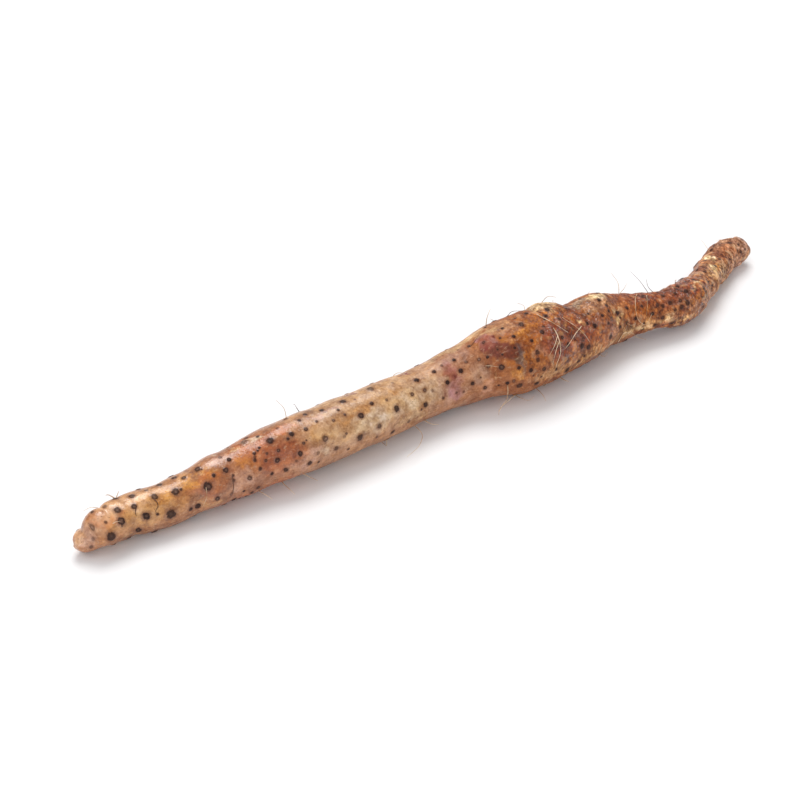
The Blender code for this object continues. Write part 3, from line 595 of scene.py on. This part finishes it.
def scar_looks(count, rng):
    """How dark each scar is, and how pale its middle, from 0 to 1."""
    seen = [(dark, sum(pale)) for _, _, _, dark, *pale in SCARS]
    others = count - len(seen)
    dark = rng.uniform(*OTHER_SCAR_DARKNESS, others)
    pale = np.maximum(rng.uniform(*OTHER_SCAR_PALENESS, others), 0)
    return np.concatenate([np.array(seen) / 10, np.c_[dark, pale]])


def scar_relief(nearest, sizes, pale):
    """Low warts with flat tops. Those with a pale middle have a pit there."""
    top = 1 - eased(nearest, *SCAR_SLOPE)
    pit = PIT_DEPTH * bell(nearest / PIT_RADIUS) * (pale > 0)
    return sizes * (SCAR_HEIGHT * top - pit)


def noise_over(places, size):
    """Smooth noise from -1 to 1 at points in millimetres, with lumps about the given size."""
    return np.array([noise.noise(Vector(place)) for place in places / size])


def folds_over(smooth):
    """Rounded folds with sharp creases between them, below zero in a crease and about 1 on a fold."""
    squeezed = smooth * (1, 1 / FOLD_STRETCH, 1 / FOLD_STRETCH)
    squeezed[:, 0] += FOLD_SLANT * smooth[:, 1]
    return FOLD_SWING * np.abs(noise_over(squeezed, FOLD_SIZE)) - FOLD_LOW


def fine_relief(smooth, rough, folds):
    """Small lumps, and on rough skin larger ones and folds."""
    total = np.zeros(len(smooth))
    for size, height in SMOOTH_LUMPS:
        total += height * noise_over(smooth, size)
    for size, height in ROUGH_LUMPS:
        total += rough * height * noise_over(smooth + size, size)
    return total + rough * FOLD_HEIGHT * folds


def row_places(body):
    """Distances of the rows of points round the yam, closer together where it is thin."""
    thick = np.flatnonzero(body.radius > POLE_RADIUS)
    along = body.along[thick[0]]
    stop = body.along[thick[-1]]
    places = []
    while along < stop:
        places.append(along)
        along += ROW_SHARE * min(SPACING, body.at(along, body.radius))
    places[-1] = stop
    return places


def sheet_points(body, scars, rng):
    """Points of the flat sheet as distance and angle from the seam, and how many lie on each edge.

    The first points are the two long edges of the sheet, which meet at the seam.
    """
    rows = row_places(body)
    edge = [(along, 0.0) for along in rows] + [(along, 2 * math.pi) for along in rows]
    inner = []
    for i, along in enumerate(rows):
        radius = body.at(along, body.radius)
        count = max(FEWEST, round(2 * math.pi * radius / SPACING))
        places = (np.arange(1, count) + 0.5 * (i % 2)) / count
        places = places[places < 1 - SEAM_GAP / count]
        shift = np.zeros(len(places))
        if 0 < i < len(rows) - 1:
            places = places + rng.uniform(*JITTER, len(places)) / count
            shift = rng.uniform(*JITTER, len(places)) * min(SPACING, radius)
        inner.append(np.c_[along + shift, 2 * math.pi * places])
    inner = np.concatenate(inner)
    radius = body.at(inner[:, 0], body.radius)
    nearest, _ = scar_field(inner[:, 0], inner[:, 1] + SEAM, radius, scars)
    inner = inner[nearest > SCAR_RINGS[-1][0] + RING_GAP]
    rings = [ring for scar in scars for ring in scar_rings(body, scar)]
    return np.concatenate([edge, inner, *rings]), len(rows)


def scar_rings(body, scar):
    """The points of one scar on the flat sheet: its middle, and rings round it."""
    where, at_angle, size, step = scar
    radius = body.at(where, body.radius)
    middle = (at_angle - SEAM) % (2 * math.pi)
    yield [(where, middle)]
    for share, count in SCAR_RINGS:
        spokes = 2 * math.pi * np.arange(count) / count
        reach = share * size / 2
        yield np.c_[where + np.cos(spokes) * reach / step, middle + np.sin(spokes) * reach / radius]


def sheet_triangles(body, points, rows):
    """Triangles of the flat sheet, with its two long edges joined."""
    flat = np.c_[body.at(points[:, 0], body.sheet), points[:, 1]]
    seam = [(i, i + 1) for i in range(2 * rows - 1) if i != rows - 1]
    found = delaunay_2d_cdt([Vector(p) for p in flat], seam, [], 0, 1e-6)
    origin = [min(came_from) for came_from in found[3]]
    joined = [i - rows if rows <= i < 2 * rows else i for i in origin]
    return [tuple(joined[i] for i in reversed(face)) for face in found[2]]


def closed_by_fans(triangles, along, tip, neck):
    """The triangles, with each open end of the skin joined to the point at its pole."""
    edges = {(t[i], t[(i + 1) % 3]) for t in triangles for i in range(3)}
    rim = sorted((a, b) for a, b in edges if (b, a) not in edges)
    middle = (along[tip] + along[neck]) / 2
    return triangles + [(b, a, tip if along[a] < middle else neck) for a, b in rim]


def pigment(name):
    """The plain colour, in the shader's linear shares, that looks like the named one in even light."""
    seen = np.array(linear(*SEEN[name]))
    return np.maximum((seen - EVEN_SHINE) / EVEN_LIGHT, DARKEST)


def with_twins(patches, rng):
    """The patches, and each one's twin somewhere on the hidden sides."""
    twins = [
        (along + rng.uniform(*TWIN_SHIFT), rng.uniform(*HIDDEN_ANGLES), *shape)
        for along, _, *shape in patches
    ]
    return [*patches, *twins]


def patch_share(along, angle, radius, patches):
    """How strongly the patches cover each point, from 0 to 1."""
    total = np.zeros_like(along)
    for *place, strength in patches:
        cover = 1 - eased(spread(along, angle, radius, place), *PATCH_EDGE)
        total = np.maximum(total, strength / 10 * cover)
    return total


def skin_colours(along, angle, radius, smooth):
    """The colour at each point, with painted highlights and shade among its patches, and how damp it is
    there.
    """
    rng = np.random.default_rng(SEED + 1)
    places, names = zip(*ZONES)
    zones = np.array([pigment(name) for name in names])
    colour = np.stack([np.interp(along, places, zones[:, i]) for i in range(3)], axis=-1)
    low = LOW_SHARE * eased(-np.sin(angle), *LOW_REACH)[:, None]
    colour += low * (pigment(LOW_COLOUR) - colour)
    ahead = sum(far * noise_over(smooth, size) for size, far in WANDERS)
    across = sum(far * noise_over(smooth + ELSEWHERE * size, size) for size, far in WANDERS)
    moved = (along + ahead, angle + across / np.maximum(radius, POLE_RADIUS), radius)
    for name, patches in PATCHES.items():
        share = patch_share(*moved, with_twins(patches, rng))[:, None]
        colour += share * (pigment(name) - colour)
    return colour, patch_share(*moved, with_twins(WET, rng))


def link(item):
    bpy.context.scene.collection.objects.link(item)
    return item


def new_piece(name, points, faces, material):
    """A smooth piece in the scene, from points in millimetres."""
    mesh = bpy.data.meshes.new(name)
    mesh.from_pydata(np.multiply(points, MM), [], faces)
    mesh.shade_smooth()
    mesh.materials.append(material)
    return link(bpy.data.objects.new(name, mesh))


def skin_piece(body):
    """The fine skin, with the values at its points that its material reads, and all scars."""
    rng = np.random.default_rng(SEED)
    scars = all_scars(body, rng)
    points, rows = sheet_points(body, scars, rng)
    triangles = sheet_triangles(body, points, rows)
    along = np.r_[points[:, 0], 0, body.along[-1]]
    angle = np.r_[points[:, 1] + SEAM, SEAM, SEAM]
    triangles = closed_by_fans(triangles, along, len(points), len(points) + 1)

    skin, out = body.skin(along, angle)
    radius = body.at(along, body.radius)
    nearest, which = scar_field(along, angle, radius, scars)
    dark, pale = scar_looks(len(scars), rng)[which].T
    sizes = np.array(scars)[which, 2]
    rough = np.maximum(eased(along, NECK_START, NECK_FULL), patch_share(along, angle, radius, ROUGH))
    smooth = skin.copy()
    folds = folds_over(smooth)
    relief = waves(along, angle) + humps(along, angle, radius) + creases(along, angle, radius)
    relief += lobes(skin, out) + scar_relief(nearest, sizes, pale) + fine_relief(smooth, rough, folds)
    skin += relief[:, None] * out
    skin[:, 2] = np.maximum(skin[:, 2], 0)

    used = np.unique(triangles)
    faces = np.searchsorted(used, triangles).tolist()
    piece = new_piece("yam_skin", skin[used], faces, skin_material())
    colour, wet = skin_colours(along, angle, radius, smooth)
    values = {"scar": nearest, "scar_dark": dark, "scar_pale": pale, "rough": rough, "folds": folds}
    values |= {"wet": wet, "along": along, "place": smooth, "skin_colour": colour}
    for name, value in values.items():
        kind, key = ("FLOAT", "value") if value.ndim == 1 else ("FLOAT_VECTOR", "vector")
        column = piece.data.attributes.new(name, kind, "POINT")
        column.data.foreach_set(key, value[used].ravel())
    return piece, scars


def linear(*colour):
    """A colour read off a screen, 0 to 255, as linear shares of light."""
    shares = [c / 255 for c in colour]
    return [((c + 0.055) / 1.055) ** 2.4 if c > 0.04045 else c / 12.92 for c in shares]


def srgb(*colour):
    return (*linear(*colour), 1)


class Nodes:
    """The shader nodes of one material. Each call adds a node and gives its output socket."""

    def __init__(self, name):
        self.material = bpy.data.materials.new(name)
        self.material.use_nodes = True
        self.tree = self.material.node_tree
        self.shader = self.tree.nodes["Principled BSDF"]

    def put(self, value, socket):
        if isinstance(value, bpy.types.NodeSocket):
            self.tree.links.new(value, socket)
        else:
            socket.default_value = value

    def add(self, kind, inputs, **settings):
        node = self.tree.nodes.new(kind)
        for name, value in settings.items():
            setattr(node, name, value)
        for key, value in inputs.items():
            self.put(value, node.inputs[key])
        return node

    def finish(self, **inputs):
        """Sets the shader's sockets, with their names written in one word."""
        for name, value in inputs.items():
            self.put(value, self.shader.inputs[name.replace("_", " ")])
        return self.material

    def value(self, name, output="Fac"):
        return self.add("ShaderNodeAttribute", {}, attribute_name=name).outputs[output]

    def times(self, vector, factors):
        return self.add("ShaderNodeVectorMath", {0: vector, 1: factors}, operation="MULTIPLY").outputs[0]

    def noise(self, vector, size, detail=3):
        inputs = {"Vector": vector, "Scale": 1 / size, "Detail": detail}
        return self.add("ShaderNodeTexNoise", inputs).outputs["Fac"]

    def cells(self, vector, size):
        inputs = {"Vector": vector, "Scale": 1 / size}
        return self.add("ShaderNodeTexVoronoi", inputs).outputs["Distance"]

    def math(self, operation, first, second=0.0):
        return self.add("ShaderNodeMath", {0: first, 1: second}, operation=operation).outputs[0]

    def ease(self, value, low, high, to_low=0.0, to_high=1.0):
        """to_low where the value is low or less, to_high where it is high or more, smooth between."""
        inputs = {"Value": value, "From Min": low, "From Max": high, "To Min": to_low, "To Max": to_high}
        return self.add("ShaderNodeMapRange", inputs, interpolation_type="SMOOTHSTEP").outputs[0]

    def share(self, mask, value, low, high, most=1.0):
        """The mask, times 0 where the value is low and most where it is high, smooth between."""
        return self.math("MULTIPLY", self.ease(value, low, high, 0, most), mask)

    def blend(self, share, under, over):
        """The colour over laid on the colour under. Several sockets share a name, so they go by number."""
        return self.add("ShaderNodeMix", {0: share, 6: under, 7: over}, data_type="RGBA").outputs[2]

    def bump(self, height, depth, strength, below=None):
        """A bump of that depth in millimetres, over another one's normal if given."""
        inputs = {"Height": height, "Distance": depth * MM, "Strength": strength}
        if below:
            inputs["Normal"] = below
        return self.add("ShaderNodeBump", inputs).outputs["Normal"]


def ragged(nodes, value, wander, amount):
    """The value, with its edges made uneven by a noise around one half."""
    shift = nodes.math("MULTIPLY", nodes.math("SUBTRACT", wander, 0.5), amount)
    return nodes.math("ADD", value, shift)


WARM = (1.02, 0.98, 0.86)
COOL = (0.98, 1.02, 1.12)
DAMP = (0.9, 0.7, 0.42)
# Cream and umber give the skin's own pale and dark streaks, and also the painted highlight on fold tops and
# the painted shade in creases.
CREAM = srgb(228, 190, 150)
UMBER = srgb(92, 47, 27)
SCAR_BROWN = srgb(40, 18, 15)
SCAR_EDGE = srgb(116, 64, 38)
SCAR_PALE = srgb(170, 132, 112)
# Sizes of the noises that the colours, the shine and the bumps share.
FINE_SIZE = 0.9
CRUMB_SIZE = 2.2
LUMP_SIZE = 3.2
SWELL_SIZE = 4.5
WARM_SIZE = 7
STREAK_SIZE = 2.0
SPECK_SIZE = 2.6
# What is laid over the colour: from which value on, where it is full, and how much it covers.
# On rough skin, painted shade darkens the creases between folds and painted highlight lightens the fold
# tops.
CREASE_PAINTED_SHADE = (0.0, -0.55, 0.55)
FOLD_PAINTED_HIGHLIGHT = (0.3, 1.0, 0.4)
PALE_STREAKS = (0.55, 0.75)
DARK_STREAKS = (0.42, 0.25)
SPECKS = (0.18, 0.08, 0.6)
# A scar's rim, dark disc and pale middle, written in the same way, in shares of its radius.
SCAR_RIM = (2.0, 1.1, 0.6)
SCAR_DISC = (1.2, 0.8, 1)
SCAR_MIDDLE = (0.7, 0, 0.75)
# Depths of the bumps in the skin, and in the film of wax and water on it.
FINE_DEPTH = 0.25
LUMP_DEPTH = 1.8
FILM_LUMP_DEPTH = 1.5
FILM_SWELL_DEPTH = 6.0


def blotched(nodes, colour, place, mottles):
    """The colour made lighter and darker by noise of each size."""
    shade = 1.0
    for size, strength in mottles:
        shade = ragged(nodes, shade, nodes.noise(place, size), strength)
    faded = {axis: nodes.math("POWER", shade, power) for axis, power in zip("XYZ", FADING)}
    return nodes.times(colour, nodes.add("ShaderNodeCombineXYZ", faded).outputs[0])


def mottled(nodes, colour, place, rough):
    """The colour with warm and cool areas, light and dark blotches, painted shade in the creases and painted
    highlight on the fold tops of rough skin, streaks along the yam and specks.
    """
    warm = nodes.ease(nodes.noise(nodes.times(place, (1, 1.2, 1.2)), WARM_SIZE), 0.36, 0.64)
    colour = nodes.blend(warm, nodes.times(colour, COOL), nodes.times(colour, WARM))
    colour = blotched(nodes, colour, place, MOTTLES)
    coarse = blotched(nodes, colour, nodes.times(place, (1, 0.75, 0.75)), ROUGH_MOTTLES)
    colour = nodes.blend(rough, colour, coarse)
    folds = nodes.value("folds")
    # Painted shade in the creases and painted highlight on the fold tops of rough skin.
    colour = nodes.blend(nodes.share(rough, folds, *CREASE_PAINTED_SHADE), colour, UMBER)
    colour = nodes.blend(nodes.share(rough, folds, *FOLD_PAINTED_HIGHLIGHT), colour, CREAM)
    streaks = nodes.noise(nodes.times(place, (0.5, 1, 1)), STREAK_SIZE, 4)
    streaky = nodes.math("SUBTRACT", 0.3, nodes.math("MULTIPLY", rough, 0.2))
    colour = nodes.blend(nodes.share(streaky, streaks, *PALE_STREAKS), colour, CREAM)
    colour = nodes.blend(nodes.share(streaky, streaks, *DARK_STREAKS), colour, UMBER)
    specks = nodes.share(1.0, nodes.cells(place, SPECK_SIZE), *SPECKS)
    return nodes.blend(specks, colour, SCAR_EDGE)


def with_scars(nodes, colour, fine, crumbs, rough):
    """The colour with the scars on it, and how much of each point the scars cover."""
    scar = nodes.math("MULTIPLY", nodes.value("scar"), nodes.ease(rough, 0, 1, 1, 0.92))
    scar = ragged(nodes, ragged(nodes, scar, fine, 0.5), crumbs, 0.7)
    dark = nodes.math("POWER", nodes.value("scar_dark"), nodes.ease(rough, 0, 0.8, 0.65, 0.25))
    dark = nodes.math("MULTIPLY", dark, nodes.ease(rough, 0.85, 1, 1, 0.88))
    colour = nodes.blend(nodes.share(dark, scar, *SCAR_RIM), colour, SCAR_EDGE)
    disc = nodes.share(nodes.ease(fine, 0.4, 0.65, 1, 0.88), scar, *SCAR_DISC)
    disc = nodes.math("MULTIPLY", disc, dark)
    colour = nodes.blend(disc, colour, SCAR_BROWN)
    middle = nodes.share(nodes.value("scar_pale"), ragged(nodes, scar, crumbs, 0.8), *SCAR_MIDDLE)
    return nodes.blend(middle, colour, SCAR_PALE), disc


def skin_material():
    """Waxy skin, damp in places, with scars. Its noise is read at the places of the smooth skin."""
    nodes = Nodes("yam_skin")
    place = nodes.value("place", "Vector")
    fine = nodes.noise(place, FINE_SIZE)
    crumbs = nodes.noise(place, CRUMB_SIZE, 2)
    lumps = nodes.noise(nodes.times(place, (1, 0.8, 0.8)), LUMP_SIZE)
    swells = nodes.noise(place, SWELL_SIZE, 2)
    rough = nodes.value("rough")
    wet = nodes.ease(ragged(nodes, nodes.value("wet"), lumps, 0.9), 0.3, 0.85)
    colour = mottled(nodes, nodes.value("skin_colour", "Vector"), place, rough)
    colour = nodes.blend(wet, colour, nodes.times(colour, DAMP))
    colour, disc = with_scars(nodes, colour, fine, crumbs, rough)

    waxy = nodes.ease(nodes.value("along"), 110, 330, 0.75, 0.15)
    waxy = nodes.math("MULTIPLY", waxy, nodes.ease(crumbs, 0.3, 0.6, 0.6, 1))
    glints = nodes.math("MULTIPLY", wet, nodes.ease(swells, 0.44, 0.6, 0.35, 1))
    coat = nodes.math("MAXIMUM", waxy, glints)
    coat = nodes.math("MULTIPLY", coat, nodes.math("SUBTRACT", 1.0, disc))
    roughness = nodes.ease(fine, 0.3, 0.7, 0.42, 0.58)
    roughness = nodes.math("SUBTRACT", roughness, nodes.math("MULTIPLY", wet, 0.15))
    normal = nodes.bump(fine, FINE_DEPTH, 0.6)
    lump_share = nodes.math("ADD", nodes.math("MULTIPLY", rough, 0.75), 0.25)
    lumps = nodes.math("MULTIPLY", lumps, lump_share)
    film = nodes.bump(lumps, FILM_LUMP_DEPTH, 1.0, normal)
    film = nodes.bump(nodes.math("MULTIPLY", swells, rough), FILM_SWELL_DEPTH, 1.0, film)
    normal = nodes.bump(lumps, LUMP_DEPTH, 1.0, normal)
    return nodes.finish(
        Base_Color=colour,
        Roughness=roughness,
        Specular_IOR_Level=0.2,
        Coat_Weight=coat,
        Coat_Roughness=0.12,
        Coat_IOR=1.7,
        Normal=normal,
        Coat_Normal=film,
    )


def hair_material(name, light, shade):
    """A hair root's material, which goes from one shade to the other and back along it."""
    nodes = Nodes(name)
    place = nodes.add("ShaderNodeTexCoord", {}).outputs["Object"]
    change = nodes.ease(nodes.noise(place, HAIR_SHADE_SIZE * MM, 2), 0.35, 0.65)
    return nodes.finish(Base_Color=nodes.blend(change, srgb(*light), srgb(*shade)), Roughness=0.6)


def tube(path, radii):
    """Points and faces of a closed tube round a path, with a radius at each of its points."""
    ahead = unit(np.gradient(path, axis=0))
    side = unit(np.cross(ahead, HAIR_ASIDE))
    over = np.cross(ahead, side)
    turn = 2 * math.pi * np.arange(HAIR_SIDES) / HAIR_SIDES
    ring = np.cos(turn)[None, :, None] * side[:, None] + np.sin(turn)[None, :, None] * over[:, None]
    points = (path[:, None] + radii[:, None, None] * ring).reshape(-1, 3)
    faces = []
    last = (len(path) - 1) * HAIR_SIDES
    for base in range(0, last, HAIR_SIDES):
        for j in range(HAIR_SIDES):
            k = (j + 1) % HAIR_SIDES
            faces.append((base + j, base + k, base + HAIR_SIDES + k, base + HAIR_SIDES + j))
    faces.append(tuple(reversed(range(HAIR_SIDES))))
    faces.append(tuple(range(last, last + HAIR_SIDES)))
    return points, faces


def random_hairs(scars, rng):
    """Hair roots at random scars of the hidden sides, but not near the tip."""
    hidden = [scar for scar in scars[len(SCARS):] if scar[0] > OTHER_HAIR_START]
    for number in rng.choice(len(hidden), OTHER_HAIRS, replace=False):
        along, angle, *_ = hidden[number]
        length = rng.uniform(*OTHER_HAIR_LENGTHS)
        drift = rng.uniform(*OTHER_HAIR_DRIFT) * length
        turn = rng.uniform(*OTHER_HAIR_TURN)
        rise = rng.uniform(*OTHER_HAIR_RISE) * length
        degrees = math.degrees(angle)
        path = [(along + drift * t, degrees + turn * t, rise * math.sin(1.8 * t)) for t in OTHER_HAIR_STEPS]
        yield rng.random() >= DARK_SHARE, rng.uniform(*OTHER_HAIR_THICKNESS), path


def hair_path(body, path, thickness, rng):
    """The smooth 3-D path of one hair root, in millimetres, never below the floor."""
    along, degrees, height = np.array(path, float).T
    angle = np.radians(degrees)
    skin, out = body.skin(along, angle)
    radius = body.at(along, body.radius)
    relief = waves(along, angle) + humps(along, angle, radius) + lobes(skin, out)
    corners = skin + (relief + height)[:, None] * out
    knots = np.cumsum(steps_between(corners))
    at = np.linspace(0, knots[-1], max(FEWEST, round(knots[-1] / HAIR_STEP)))
    smooth = smooth_through(knots, corners, at)
    wiggle = smooth_through(knots, rng.uniform(*HAIR_WIGGLE, corners.shape), at)
    smooth += wiggle * (np.minimum(at, WIGGLE_START) / WIGGLE_START)[:, None]
    smooth[:, 2] = np.maximum(smooth[:, 2], thickness / 2)
    return smooth


def hair_pieces(body, scars):
    """All hair roots, as one piece of pale ones and one of dark ones."""
    rng = np.random.default_rng(SEED + 2)
    shapes = {name: ([], []) for name in HAIR_COLOURS}
    for pale, thickness, path in [*HAIRS, *random_hairs(scars, rng)]:
        points, faces = shapes["pale" if pale else "dark"]
        smooth = hair_path(body, path, thickness, rng)
        radii = thickness / 2 * np.linspace(*HAIR_TAPER, len(smooth))
        more_points, more_faces = tube(smooth, radii)
        faces += [tuple(i + len(points) for i in face) for face in more_faces]
        points += list(more_points)
    return [
        new_piece("hair_roots_" + name, *shape, hair_material(name + "_root", *HAIR_COLOURS[name]))
        for name, shape in shapes.items()
    ]


def floor():
    material = Nodes("white_floor").finish(Base_Color=FLOOR_COLOUR, Roughness=0.6)
    half = FLOOR_SIZE / 2
    corners = [(-half, -half, 0), (half, -half, 0), (half, half, 0), (-half, half, 0)]
    plane = new_piece("floor", corners, [(0, 1, 2, 3)], material)
    plane.location.z = -FLOOR_GAP * MM
    plane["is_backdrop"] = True


def camera():
    back = Vector((
        math.sin(CAMERA_AZIMUTH) * math.cos(CAMERA_ELEVATION),
        -math.cos(CAMERA_AZIMUTH) * math.cos(CAMERA_ELEVATION),
        math.sin(CAMERA_ELEVATION),
    ))
    data = bpy.data.cameras.new("camera")
    data.lens = CAMERA_LENS
    item = link(bpy.data.objects.new("camera", data))
    item.location = Vector(CAMERA_TARGET) + back * CAMERA_DISTANCE
    item.rotation_euler = back.to_track_quat("Z", "Y").to_euler()
    bpy.context.scene.camera = item


def soft_light(name, towards, degrees, strength, colour):
    """Light that comes evenly from a round patch of sky, that many degrees wide."""
    data = bpy.data.lights.new(name, "SUN")
    data.angle = math.radians(degrees)
    data.energy = strength
    data.color = colour
    lamp = link(bpy.data.objects.new(name, data))
    lamp.rotation_euler = Vector(towards).to_track_quat("Z", "Y").to_euler()


def studio():
    """Soft lights in a white room, the strongest one from high up behind."""
    world = bpy.data.worlds.new("white_room")
    world.use_nodes = True
    background = world.node_tree.nodes["Background"]
    background.inputs["Color"].default_value = ROOM_COLOUR
    background.inputs["Strength"].default_value = ROOM_STRENGTH
    bpy.context.scene.world = world
    for name, light in LIGHTS.items():
        soft_light(name, *light)
    bpy.context.scene.view_settings.view_transform = "Standard"


camera()
studio()
floor()
yam = Body()
skin, root_scars = skin_piece(yam)
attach(skin, "root")
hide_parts("yam_tuber")
for hair in hair_pieces(yam, root_scars):
    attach(hair, "root")
boxes = {"cad": cad_box, "visual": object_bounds()}
{name: [list(corner) for corner in box] for name, box in boxes.items()}
